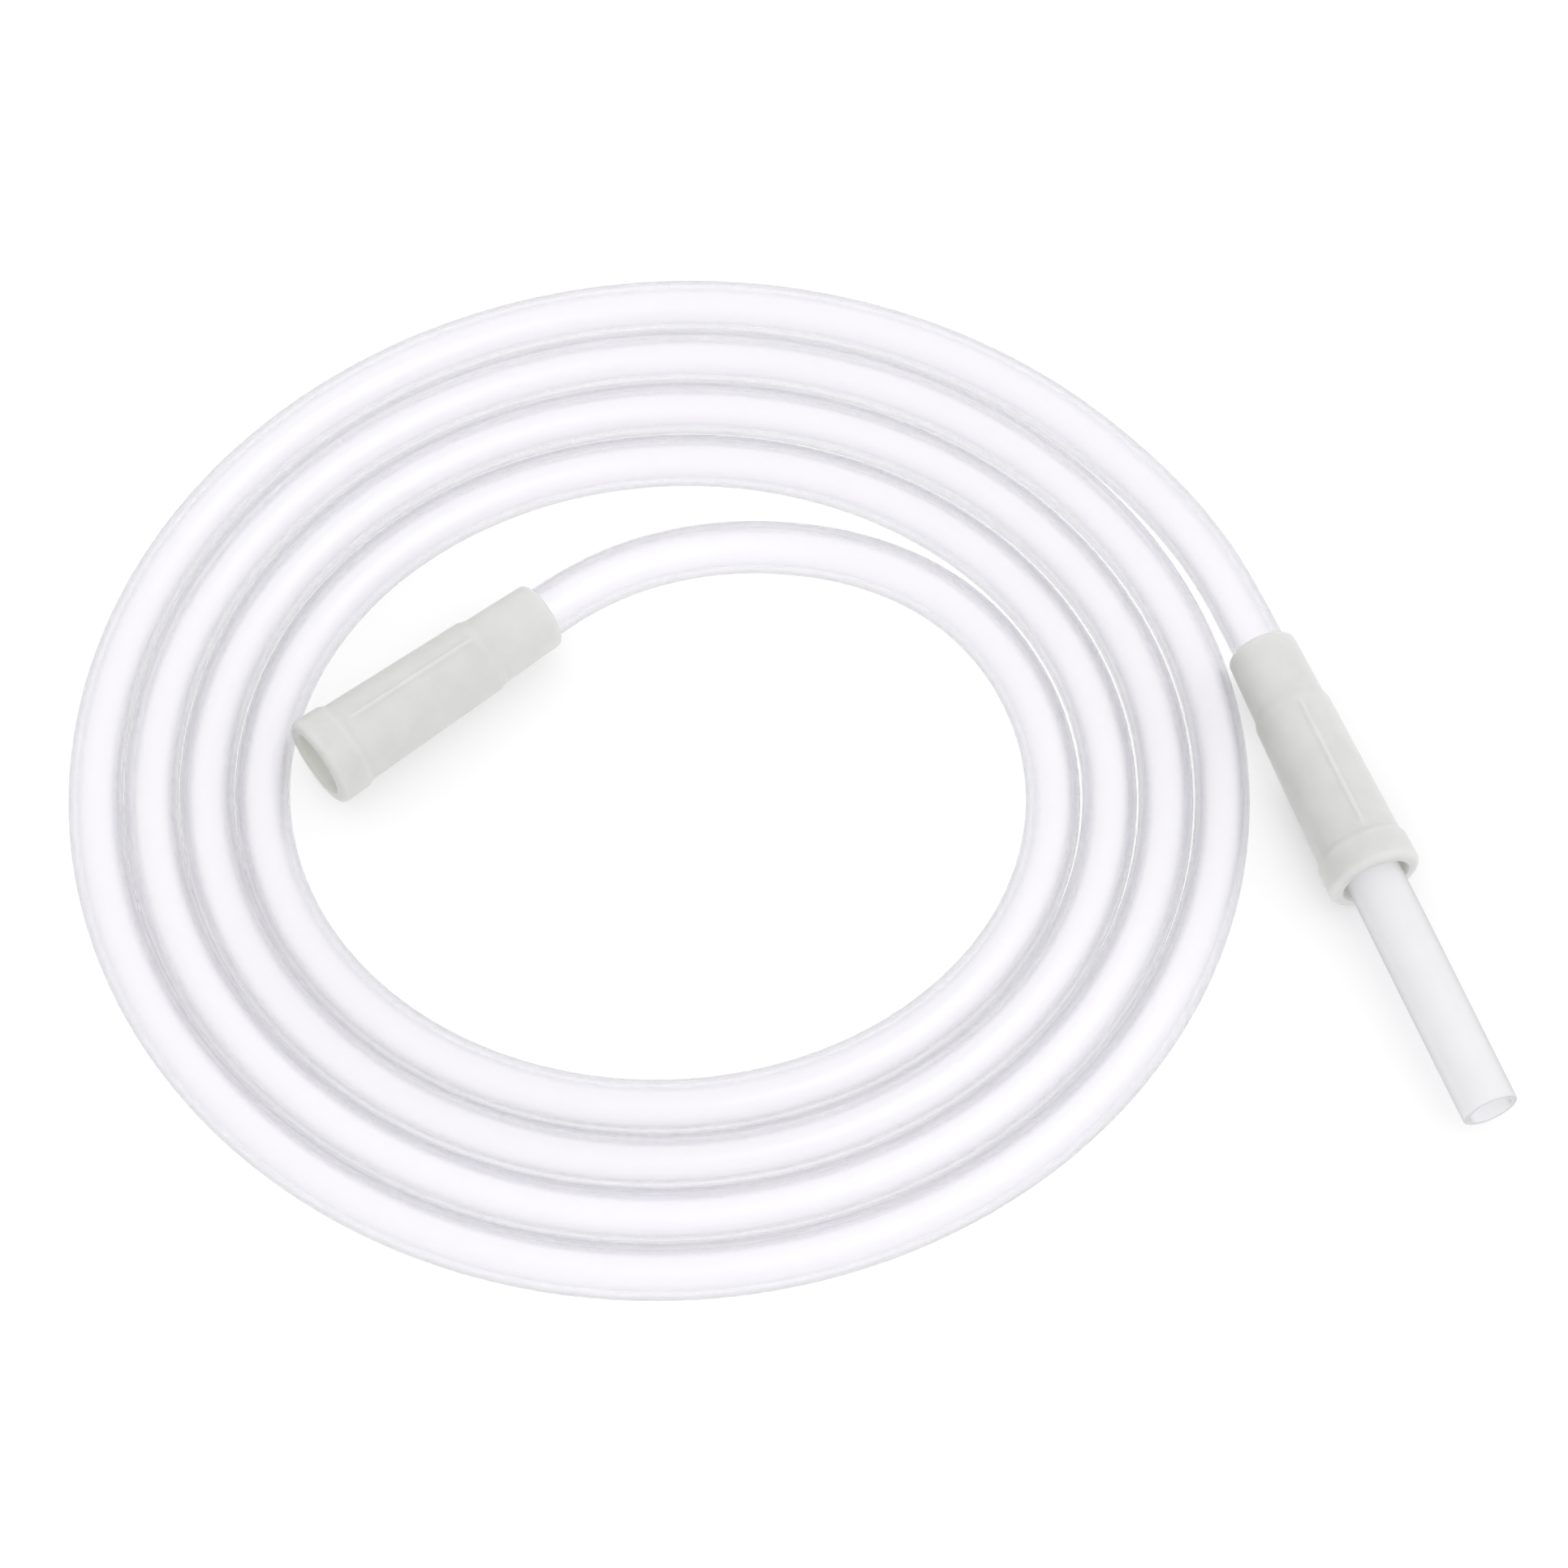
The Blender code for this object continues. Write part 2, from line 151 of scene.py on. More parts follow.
class FunnelSettings(PropertyGroup):
    length: length_property("Length", "Length of the whole funnel", 41.3)
    sleeve_length: length_property("Sleeve length", "Length of the sleeve round the hose", 10.6)
    shoulder_length: length_property("Shoulder length", "Length from sleeve to barrel", 1.4)
    collar_length: length_property("Collar length", "Length of the collar at the mouth", 4.8)
    collar_step: length_property("Collar step", "Length of the step up to the collar", 0.9)
    sleeve_rear: length_property("Sleeve rear", "Diameter of the sleeve at its rear", 10.5)
    sleeve_front: length_property("Sleeve front", "Diameter of the sleeve at its front", 11.0)
    barrel_rear: length_property("Barrel rear", "Diameter of the barrel at its rear", 11.8)
    barrel_front: length_property("Barrel front", "Diameter of the barrel at the collar", 12.9)
    collar: length_property("Collar", "Diameter of the collar at its step", 13.8)
    rim: length_property("Rim", "Diameter of the rim of the mouth", 14.1)
    mouth: length_property("Mouth", "Inside diameter of the mouth", 9.8)
    lip: length_property("Lip", "Chamfer round the mouth", 0.3)
    socket_depth: length_property("Socket depth", "Depth of the socket for the hose", 12.0)
    waist: length_property("Waist", "Bore between the two sockets", 6.4)
    waist_length: length_property("Waist length", "Length of the waist", 1.5)
    waist_cone: length_property("Waist cone", "Length from the waist to the adapter's seat", 1.5)
    insertion: length_property("Insertion", "How far the adapter goes in", 20.0)
    closed_flare: length_property("Closed flare", "Depth of the flare round the adapter", 1.6)
    fit_gap: length_property("Fit gap", "Clearance between pieces that seat in each other", 0.3)
    lip_round: length_property("Lip round", "Radius of the mouth's inner edges", 0.1)
    rim_round: length_property("Rim round", "Radius of the rim's outer edge", 1.0)
    collar_round: length_property("Collar round", "Radius at the collar's step", 0.7)
    shoulder_round: length_property("Shoulder round", "Radius at the shoulder", 0.4)
    rear_round: length_property("Rear round", "Radius of the sleeve's rear edge", 0.9)
    socket_round: length_property("Socket round", "Radius of the socket's edge", 0.08)
    rib_half_width: length_property("Rib half width", "From a rib's crown to its foot", 0.54)
    rib_height: length_property("Rib height", "Height of a rib along the barrel", 0.3)
    rib_inset: length_property("Rib inset", "From the barrel's end to the rib's end", 0.5)
    rib_fade: length_property("Rib fade", "Length over which a rib's end rises", 1.0)
    row_spacing: length_property("Row spacing", "Distance between rows of the mesh", 0.32)
    sides: IntProperty(name="Sides", description="Sides of one ring", default=192, min=16)
    filler_size: length_property("Filler size", "Size of the filler's clouds", 4.5)
    grain_size: length_property("Grain size", "Size of the skin's grain", 0.35)
    scatter: length_property("Scatter", "How far light goes in", 2.5)
    tint: color_property("Tint", "Colour of the milky PVC", "D6D6D5")
    shade: color_property("Shade", "Colour of the milky PVC where it is denser", "D1D1D0")
    # Painted shade: the bore's darker colour, with where it starts and how it fades in, stands in
    # for the shade inside the bore.
    bore_shade_tint: color_property("Bore tint", "Colour of the milky PVC in the bore", "C6C7C1")
    bore_inset: length_property("Bore inset", "From the sleeve's rear to the bore's colour", 1.0)
    bore_fade: length_property("Bore fade", "Length over which the bore's colour sets in", 1.0)
    light_tint: color_property("Light tint", "Colour of the light that it lets through", "F2F2F2")


class AdapterSettings(PropertyGroup):
    visible: length_property("Visible length", "How far the adapter stands out", 38.3)
    middle: length_property("Middle", "Diameter of the adapter in its middle", 8.35)
    end: length_property("End", "Diameter of the adapter at its ends", 8.15)
    bore: length_property("Bore", "Inside diameter of the adapter", 6.3)
    edge: length_property("Edge", "Radius of the outer edge of each end", 0.2)
    bore_edge: length_property("Bore edge", "Radius of the bore's edge at the free end", 0.05)
    row_spacing: length_property("Row spacing", "Distance between rows of the mesh", 0.8)
    sides: IntProperty(name="Sides", description="Sides of one ring", default=128, min=16)
    cloud_size: length_property("Cloud size", "Size of the clouds in the plastic", 5.0)
    tint: color_property("Tint", "Colour of the frosted plastic", "F6F6F7")
    shade: color_property("Shade", "Colour of the frosted plastic where it is denser", "F0F0F2")
    # Painted shade: the darker colour at the adapter's outline.
    limb_shade_tint: color_property("Limb tint", "Colour of the plastic at its outline", "C0C0C3")
    light_tint: color_property("Light tint", "Colour of the light that it lets through", "F4F4F5")


class StageSettings(PropertyGroup):
    floor_size: length_property("Floor size", "Side of the floor", 12000.0)
    floor_drop: length_property("Floor drop", "How far the floor lies under the object", 0.02)
    floor_tint: color_property("Floor colour", "Colour of the floor", "FCFCFC")
    floor_fleck: color_property("Floor fleck", "Colour of the floor's flecks", "FDFDFD")
    azimuth: angle_property("Azimuth", "Where the camera stands round the coil", -38.575)
    elevation: angle_property("Elevation", "How high the camera looks down from", 61.0)
    distance: length_property("Distance", "From the camera to what it looks at", 559.5)
    lens: FloatProperty(name="Lens", description="Focal length in millimetres", default=87.58)
    look_at: FloatVectorProperty(
        name="Look at", description="Point that the camera looks at", unit="LENGTH",
        default=(8.91 * MM, 2.30 * MM, 4.0 * MM),
    )
    lamp_power: FloatProperty(
        name="Lamp power", description="Power of the soft lamp", default=0.5, unit="POWER"
    )
    lamp_size: length_property("Lamp size", "Side of the soft lamp", 600.0)
    lamp_distance: length_property("Lamp distance", "From the lamp to the coil", 800.0)
    lamp_turn: angle_property("Lamp turn", "From the camera's azimuth to the lamp's", 70.0)
    lamp_elevation: angle_property("Lamp elevation", "How high the lamp stands", 58.0)
    horizon: FloatProperty(name="Horizon", description="Light from the horizon", default=0.95)
    zenith: FloatProperty(name="Zenith", description="Light added straight above", default=0.18)
    left_light: FloatProperty(
        name="Left light", description="Light from the far left, as a share of the rest",
        default=0.88,
    )


def unit(vectors):
    """Each vector divided by its length."""
    return vectors / np.linalg.norm(vectors, axis=-1, keepdims=True)


def ease(share):
    """A smooth step from 0 to 1: 3 s^2 - 2 s^3, with s kept between 0 and 1."""
    s = np.clip(share, 0.0, 1.0)
    return s * s * (3 - 2 * s)


def closed_grid(name, points, uv, material):
    """A closed skin over a grid of rows by columns that wraps both ways, as on a ring.

    Square (r, c) has the corners (r, c), (r, c + 1), (r + 1, c + 1) and (r + 1, c). The sum of
    a . (b x c) / 6 over its triangles is the volume inside, and the squares are turned round
    where it is negative. uv has one more row and column than points, so no square spans the seam.
    """
    rows, columns = points.shape[:2]
    row, column = np.meshgrid(np.arange(rows), np.arange(columns), indexing="ij")
    row = row[..., None] + np.array([0, 0, 1, 1])
    column = column[..., None] + np.array([0, 1, 1, 0])
    quads = ((row % rows) * columns + column % columns).reshape(-1, 4)
    marks = uv[row, column].reshape(-1, 4, 2)

    flat = points.reshape(-1, 3)
    a, b, c, d = (flat[quads[:, corner]] for corner in range(4))
    volume = np.einsum("ij,ij->", a, np.cross(b, c)) + np.einsum("ij,ij->", a, np.cross(c, d))
    if volume < 0:
        quads = quads[:, ::-1]
        marks = marks[:, ::-1]

    mesh = bpy.data.meshes.new(name)
    mesh.from_pydata(flat, [], quads)
    layer = mesh.uv_layers.new(name="surface")
    layer.data.foreach_set("uv", marks.astype(np.float32).ravel())
    mesh.materials.append(material)
    mesh.shade_smooth()
    mesh.set_sharp_from_angle(angle=SHARP_ANGLE)
    piece = bpy.data.objects.new(name, mesh)
    bpy.context.scene.collection.objects.link(piece)
    return piece


def along(points):
    """The distance from the first point to each point, along straight lines between them."""
    steps = np.linalg.norm(np.diff(points, axis=0), axis=1)
    return np.concatenate([[0.0], np.cumsum(steps)])


def even_points(points, spacing):
    """The same line with its points the same distance apart."""
    lengths = along(points)
    marks = np.linspace(0.0, lengths[-1], round(lengths[-1] / spacing) + 1)
    return np.stack([np.interp(marks, lengths, axis) for axis in points.T], axis=1)


def through_points(guide, samples=24):
    """A smooth curve through all the guide points but the first and the last.

    Between p1 and p2 it is p1 + (p2 - p0) t / 2 + (2 p0 - 5 p1 + 4 p2 - p3) t^2 / 2
    + (3 p1 - p0 - 3 p2 + p3) t^3 / 2, for t from 0 to 1.
    """
    p0, p1, p2, p3 = (guide[start : len(guide) - 3 + start, None] for start in range(4))
    t = np.linspace(0.0, 1.0, samples, endpoint=False)[None, :, None]
    bend = (2 * p0 - 5 * p1 + 4 * p2 - p3) / 2
    twist = (3 * p1 - p0 - 3 * p2 + p3) / 2
    curve = p1 + (p2 - p0) / 2 * t + bend * t**2 + twist * t**3
    return curve.reshape(-1, guide.shape[1])


def coil_points(hose, turns):
    """The coil's centreline in plan, a number of turns out from its inner end, clockwise.

    In its own width and depth it is ((w + p t) cos a + e t, (d + q t) sin a + f t), where the
    angle a falls by a whole turn for each t. It is then turned to its facing and put in place.
    """
    angle = hose.inner_end_angle - 2 * np.pi * turns
    width = (hose.half_width + hose.side_pitch * turns) * np.cos(angle) + hose.side_drift * turns
    depth = (hose.half_depth + hose.depth_pitch * turns) * np.sin(angle) + hose.depth_drift * turns
    cos, sin = math.cos(hose.facing), math.sin(hose.facing)
    plan = np.stack([cos * width - sin * depth, sin * width + cos * depth], axis=-1)
    return plan + np.array(hose.centre)


def loose_run(hose, turns, way, run, rear, direction):
    """The hose in plan from one end of the coil to the rear of a funnel.

    It is a curve through guide points. Each pair of shares (a, b) in the run is one of them:
    end + (a reach . ahead) ahead + (b reach . left) left.
    """
    end = coil_points(hose, turns)
    ahead = unit(coil_points(hose, turns + way * TURN_STEP) - end)
    left = np.array([-ahead[1], ahead[0]])
    reach = rear - end
    places = end + run[:, :1] * (reach @ ahead) * ahead + run[:, 1:] * (reach @ left) * left
    before = end - ahead * END_STEP
    after = rear + direction * END_STEP
    return through_points(np.vstack([before, end, places, rear, after]))


def smoothed(points, spread):
    """Each point replaced by the mean of those about it, weighted by exp(-x^2 / 2 spread^2).

    The line is carried on straight past its two ends first, so that they stay where they are.
    """
    reach = math.ceil(3 * spread)
    offsets = np.arange(-reach, reach + 1)
    weights = np.exp(-(offsets**2) / (2 * spread**2))
    weights /= weights.sum()
    steps = np.arange(reach, 0, -1)[:, None]
    first = points[0] - steps * (points[1] - points[0])
    last = points[-1] + steps[::-1] * (points[-1] - points[-2])
    padded = np.vstack([first, points, last])
    return np.stack([np.convolve(axis, weights, mode="valid") for axis in padded.T], axis=1)


def hose_path(hose, funnel, open_seat, adapter_seat):
    """The hose's centreline in space, from inside one funnel to inside the other.

    In plan it is a loose run, the coil and a second short run. Its height is the hose's radius,
    plus ease(1 - distance to the nearer funnel / rise) times the way up to the funnel's axis.
    """
    inserted = funnel.socket_depth - funnel.fit_gap
    open_rear, open_way = open_seat
    adapter_rear, adapter_way = adapter_seat
    turns = math.floor(hose.turns * COIL_PARTS) / COIL_PARTS
    coil = coil_points(hose, np.linspace(0.0, turns, round(turns * COIL_SAMPLES) + 1))
    open_run = loose_run(hose, 0.0, -1, OPEN_RUN, open_rear, open_way)
    adapter_run = loose_run(hose, turns, 1, OPEN_RUN[:0], adapter_rear, adapter_way)
    plan = np.vstack([
        open_rear + open_way * inserted,
        open_rear,
        open_run[:0:-1],
        coil,
        adapter_run[1:],
        adapter_rear,
        adapter_rear + adapter_way * inserted,
    ])
    plan = smoothed(even_points(plan, hose.ring_spacing), PATH_SPREAD)
    lengths = along(plan)
    distance = np.minimum(lengths, lengths[-1] - lengths) - inserted
    lift = ease(1 - distance / hose.rise)
    height = hose.diameter / 2 + (funnel.rim - hose.diameter) / 2 * lift
    return np.column_stack([plan, height])


def tube_rings(path, radius, sides, shift=0.0):
    """Rings round a path: path + (radius cos a + shift) side + radius sin a up, for each angle a.

    side is level and square to the path, and up is square to both.
    """
    ahead = unit(np.gradient(path, axis=0))
    side = unit(np.cross(ahead, (0.0, 0.0, 1.0)))
    up = np.cross(side, ahead)
    angle = np.linspace(0.0, 2 * np.pi, sides, endpoint=False)
    across = radius[:, None] * np.cos(angle) + np.broadcast_to(shift, len(path))[:, None]
    high = radius[:, None] * np.sin(angle)
    return path[:, None] + across[..., None] * side[:, None] + high[..., None] * up[:, None]


def rounded_profile(corners, arc_steps=8):
    """A closed profile of (radius, distance ahead, fillet) corners, each fillet made an arc.

    The arc's centre is on the line that halves the corner, fillet / sin(half the corner) away, and
    its points turn about that centre from one side of the corner to the other.
    """
    corners = np.array(corners)
    places = corners[:, :2]
    before = unit(np.roll(places, 1, axis=0) - places)
    after = unit(np.roll(places, -1, axis=0) - places)
    half = np.arccos(np.clip(np.sum(before * after, axis=1), -1.0, 1.0)) / 2
    pieces = []
    for place, back, on, bend, fillet in zip(places, before, after, half, corners[:, 2]):
        if fillet == 0:
            pieces.append(place[None])
            continue
        centre = place + unit(back + on) * fillet / math.sin(bend)
        first = place + back * fillet / math.tan(bend) - centre
        last = place + on * fillet / math.tan(bend) - centre
        share = np.linspace(0.0, 1.0, arc_steps + 1)[:, None]
        sweep = np.pi - 2 * bend
        arc = (first * np.sin((1 - share) * sweep) + last * np.sin(share * sweep)) / math.sin(sweep)
        pieces.append(centre + arc)
    return np.vstack(pieces)


def filled_profile(profile, spacing):
    """The same closed profile with points added so that none are further apart than spacing."""
    following = np.roll(profile, -1, axis=0)
    counts = np.ceil(np.linalg.norm(following - profile, axis=1) / spacing).astype(int)
    counts = np.maximum(counts, 1)
    start = np.repeat(profile, counts, axis=0)
    end = np.repeat(following, counts, axis=0)
    order = np.arange(counts.sum()) - np.repeat(np.cumsum(counts) - counts, counts)
    return start + (end - start) * (order / np.repeat(counts, counts))[:, None]


def turned_piece(name, profile, sides, seat, height, bump, material):
    """A closed profile of (radius, distance ahead) turned round a level axis.

    The point at angle a is rear + distance ahead + (radius + bump) (cos a side + sin a up), where
    bump is a height that depends on distance, radius and angle.
    """
    rear, way = seat
    rear = np.array([*rear, height])
    ahead = np.array([*way, 0.0])
    up = np.array([0.0, 0.0, 1.0])
    side = np.cross(up, ahead)
    angle = np.linspace(0.0, 2 * np.pi, sides, endpoint=False)
    radius = profile[:, :1] + bump(profile[:, 1:], profile[:, :1], angle)
    around = np.cos(angle)[:, None] * side + np.sin(angle)[:, None] * up
    points = rear + profile[:, 1][:, None, None] * ahead + radius[..., None] * around
    closed = np.vstack([profile, profile[:1]])
    turn = np.linspace(0.0, 2 * np.pi, sides + 1)
    u = np.broadcast_to(along(closed)[:, None], (len(closed), sides + 1))
    v = closed[:, :1] * turn
    return closed_grid(name, points, np.stack([u, v], axis=-1), material)


def no_bump(distance, radius, angle):
    """A height of 0 everywhere, for a piece that is plainly round."""
    return np.zeros((len(distance), len(angle)))


def add_node(tree, kind, links=None, values=None, **settings):
    """Adds a node to a tree, with its own settings, the values of its inputs and links to them."""
    node = tree.nodes.new(kind)
    for key, value in settings.items():
        setattr(node, key, value)
    for socket, value in (values or {}).items():
        node.inputs[socket].default_value = value
    for socket, source in (links or {}).items():
        tree.links.new(source, node.inputs[socket])
    return node


def new_material(name):
    """A material with an empty node tree, and that tree."""
    material = bpy.data.materials.new(name)
    material.use_nodes = True
    material.node_tree.nodes.clear()
    return material, material.node_tree


def finish_material(tree, shader, light_tint):
    """Joins the shader to the output, but lets light from the lamp and the room pass with one tint.

    Light that a clear wall would bend still reaches what is behind it, so nothing under a clear
    piece goes black.
    """
    path = add_node(tree, "ShaderNodeLightPath")
    passing = add_node(
        tree, "ShaderNodeMath",
        {0: path.outputs["Is Shadow Ray"], 1: path.outputs["Is Diffuse Ray"]}, operation="MAXIMUM",
    )
    through = add_node(tree, "ShaderNodeBsdfTransparent", None, {"Color": (*light_tint, 1.0)})
    both = add_node(
        tree, "ShaderNodeMixShader",
        {0: passing.outputs["Value"], 1: shader.outputs["BSDF"], 2: through.outputs["BSDF"]},
    )
    add_node(tree, "ShaderNodeOutputMaterial", {"Surface": both.outputs["Shader"]})


def extruded_clear_pvc(hose):
    """Soft clear PVC, extruded.

    Drawing leaves faint lines along the hose, about 0.6 mm apart, so highlights are long and a
    little broken. The wall is clear and bends light like glass, and plasticiser gives it a slight
    cloud. Its colour turns darker and more lavender as the surface turns edge-on. A little of that
    is the longer way through the wall, and most of it is painted shade at the hose's outline.
    """
    material, tree = new_material("extruded_clear_pvc")
    surface = add_node(tree, "ShaderNodeUVMap", uv_map="surface").outputs["UV"]
    stretched = add_node(
        tree, "ShaderNodeMapping", {"Vector": surface},
        {"Scale": (1 / hose.line_length, 1 / hose.line_spacing, 1.0)},
    )
    lines = add_node(
        tree, "ShaderNodeTexNoise", {"Vector": stretched.outputs["Vector"]},
        {"Scale": 1.0, "Detail": 2.0, "Roughness": 0.5},
    )
    gloss = add_node(
        tree, "ShaderNodeMapRange", {"Value": lines.outputs["Fac"]},
        {"From Min": 0.3, "From Max": 0.7, "To Min": 0.19, "To Max": 0.24},
    )
    # Painted shade, with a little real depth colour: the colour darkens and turns lavender as the
    # surface turns edge-on, most at the outline.
    facing = add_node(tree, "ShaderNodeLayerWeight", None, {"Blend": 0.5}).outputs["Facing"]
    wall = add_node(
        tree, "ShaderNodeMapRange", {"Value": facing}, {"From Min": 0.15, "From Max": 0.55},
        interpolation_type="SMOOTHSTEP",
    )
    limb_shade_mask = add_node(
        tree, "ShaderNodeMapRange", {"Value": facing}, {"From Min": 0.28, "From Max": 0.6},
        interpolation_type="SMOOTHSTEP",
    )
    wall_shade_tint = add_node(
        tree, "ShaderNodeMix", {"Factor": wall.outputs["Result"]},
        {MIX_A: (*hose.tint, 1.0), MIX_B: (*hose.wall_shade_tint, 1.0)}, data_type="RGBA",
    )
    tint = add_node(
        tree, "ShaderNodeMix",
        {"Factor": limb_shade_mask.outputs["Result"], MIX_A: wall_shade_tint.outputs[MIX_RESULT]},
        {MIX_B: (*hose.limb_shade_tint, 1.0)}, data_type="RGBA",
    )
    relief = add_node(
        tree, "ShaderNodeBump", {"Height": lines.outputs["Fac"]},
        {"Strength": 0.02, "Distance": 0.02 * MM},
    )
    shader = add_node(
        tree, "ShaderNodeBsdfPrincipled",
        {
            "Base Color": tint.outputs[MIX_RESULT],
            "Roughness": gloss.outputs["Result"],
            "Normal": relief.outputs["Normal"],
        },
        {"Transmission Weight": 0.92, "IOR": 1.53},
    )
    finish_material(tree, shader, hose.light_tint)
    return material


def moulded_milky_pvc(funnel, socket_radius):
    """Soft milky PVC, moulded.

    Light goes a few millimetres into it, so its shading is soft and its edges glow. The mould gave
    it a satin skin with a fine grain, and its filler is a little uneven. Light from the lamp and
    the room passes through the wall with one tint, which alone would leave the bore too bright, so
    the bore is given a darker colour of its own: painted shade for the shade inside the bore. That
    sets in a little way into the socket, where the way round the section is the rim's width, the
    funnel's length, the rear's width and the inset.
    """
    material, tree = new_material("moulded_milky_pvc")
    place = add_node(tree, "ShaderNodeTexCoord").outputs["Object"]
    filler = add_node(
        tree, "ShaderNodeTexNoise", {"Vector": place},
        {"Scale": 1 / funnel.filler_size, "Detail": 4.0, "Roughness": 0.6},
    )
    grain = add_node(
        tree, "ShaderNodeTexNoise", {"Vector": place},
        {"Scale": 1 / funnel.grain_size, "Detail": 2.0, "Roughness": 0.6},
    )
    spread = add_node(
        tree, "ShaderNodeMapRange", {"Value": filler.outputs["Fac"]},
        {"From Min": 0.32, "From Max": 0.68},
    )
    outer_tint = add_node(
        tree, "ShaderNodeMix", {"Factor": spread.outputs["Result"]},
        {MIX_A: (*funnel.shade, 1.0), MIX_B: (*funnel.tint, 1.0)}, data_type="RGBA",
    )
    surface = add_node(tree, "ShaderNodeUVMap", uv_map="surface").outputs["UV"]
    round_the_section = add_node(tree, "ShaderNodeSeparateXYZ", {"Vector": surface}).outputs["X"]
    outside = funnel.length + (funnel.rim - funnel.mouth + funnel.sleeve_rear) / 2 - socket_radius
    start = outside + funnel.bore_inset
    # Painted shade: this mask darkens the bore from a little way into the socket.
    inner = add_node(
        tree, "ShaderNodeMapRange", {"Value": round_the_section},
        {"From Min": start, "From Max": start + funnel.bore_fade},
    )
    tint = add_node(
        tree, "ShaderNodeMix",
        {"Factor": inner.outputs["Result"], MIX_A: outer_tint.outputs[MIX_RESULT]},
        {MIX_B: (*funnel.bore_shade_tint, 1.0)}, data_type="RGBA",
    )
    gloss = add_node(
        tree, "ShaderNodeMapRange", {"Value": grain.outputs["Fac"]},
        {"From Min": 0.3, "From Max": 0.7, "To Min": 0.36, "To Max": 0.5},
    )
    relief = add_node(
        tree, "ShaderNodeBump", {"Height": grain.outputs["Fac"]},
        {"Strength": 0.3, "Distance": 0.015 * MM},
    )
    shader = add_node(
        tree, "ShaderNodeBsdfPrincipled",
        {
            "Base Color": tint.outputs[MIX_RESULT],
            "Roughness": gloss.outputs["Result"],
            "Normal": relief.outputs["Normal"],
        },
        {
            "Subsurface Weight": 0.8,
            "Subsurface Radius": (1.0, 1.0, 0.95),
            "Subsurface Scale": funnel.scatter,
            "IOR": 1.5,
        },
    )
    finish_material(tree, shader, funnel.light_tint)
    return material


def frosted_adapter_plastic(adapter):
    """Natural polypropylene, extruded and cut.

    It lets much of the light through but blurs it, so the funnel shows only as a soft shade
    behind it. Its skin is smooth with a fine frost, and its colour darkens towards its outline as
    painted shade.
    """
    material, tree = new_material("frosted_polypropylene")
    place = add_node(tree, "ShaderNodeTexCoord").outputs["Object"]
    cloud = add_node(
        tree, "ShaderNodeTexNoise", {"Vector": place},
        {"Scale": 1 / adapter.cloud_size, "Detail": 3.0, "Roughness": 0.5},
    )
    # Painted shade: the colour darkens towards the outline as the surface turns edge-on.
    facing = add_node(tree, "ShaderNodeLayerWeight", None, {"Blend": 0.5}).outputs["Facing"]
    limb_shade_mask = add_node(
        tree, "ShaderNodeMapRange", {"Value": facing}, {"From Min": 0.3, "From Max": 1.0},
        interpolation_type="SMOOTHSTEP",
    )
    body_tint = add_node(
        tree, "ShaderNodeMix", {"Factor": cloud.outputs["Fac"]},
        {MIX_A: (*adapter.shade, 1.0), MIX_B: (*adapter.tint, 1.0)}, data_type="RGBA",
    )
    tint = add_node(
        tree, "ShaderNodeMix",
        {"Factor": limb_shade_mask.outputs["Result"], MIX_A: body_tint.outputs[MIX_RESULT]},
        {MIX_B: (*adapter.limb_shade_tint, 1.0)}, data_type="RGBA",
    )
    gloss = add_node(
        tree, "ShaderNodeMapRange", {"Value": cloud.outputs["Fac"]},
        {"From Min": 0.3, "From Max": 0.7, "To Min": 0.30, "To Max": 0.36},
    )
    shader = add_node(
        tree, "ShaderNodeBsdfPrincipled",
        {"Base Color": tint.outputs[MIX_RESULT], "Roughness": gloss.outputs["Result"]},
        {"Transmission Weight": 0.5, "IOR": 1.49},
    )
    finish_material(tree, shader, adapter.light_tint)
    return material


def pale_floor(stage):
    """Matt white board, almost without texture."""
    material, tree = new_material("matt_white_board")
    place = add_node(tree, "ShaderNodeTexCoord").outputs["Object"]
    fleck = add_node(tree, "ShaderNodeTexNoise", {"Vector": place}, {"Scale": 40.0, "Detail": 1.0})
    tint = add_node(
        tree, "ShaderNodeMix", {"Factor": fleck.outputs["Fac"]},
        {MIX_A: (*stage.floor_tint, 1.0), MIX_B: (*stage.floor_fleck, 1.0)}, data_type="RGBA",
    )
    shader = add_node(
        tree, "ShaderNodeBsdfPrincipled", {"Base Color": tint.outputs[MIX_RESULT]},
        {"Roughness": 0.9, "Specular IOR Level": 0.0},
    )
    add_node(tree, "ShaderNodeOutputMaterial", {"Surface": shader.outputs["BSDF"]})
    return material


def seats(scene):
    """The rear point and the direction in plan of both funnels.

    Each rear point is the record's mount, less its direction times the length back from it.
    """
    funnel = scene.tubing_funnels
    open_way = np.array(MOUNTS["open_mouth"]["axis"][:2], float)
    open_rear = np.array(MOUNTS["open_mouth"]["pos_m"][:2]) - open_way * funnel.length
    adapter_way = np.array(MOUNTS["adapter_end"]["axis"][:2], float)
    whole = funnel.length + scene.tubing_adapter.visible
    adapter_rear = np.array(MOUNTS["adapter_end"]["pos_m"][:2]) - adapter_way * whole
    return (open_rear, open_way), (adapter_rear, adapter_way)


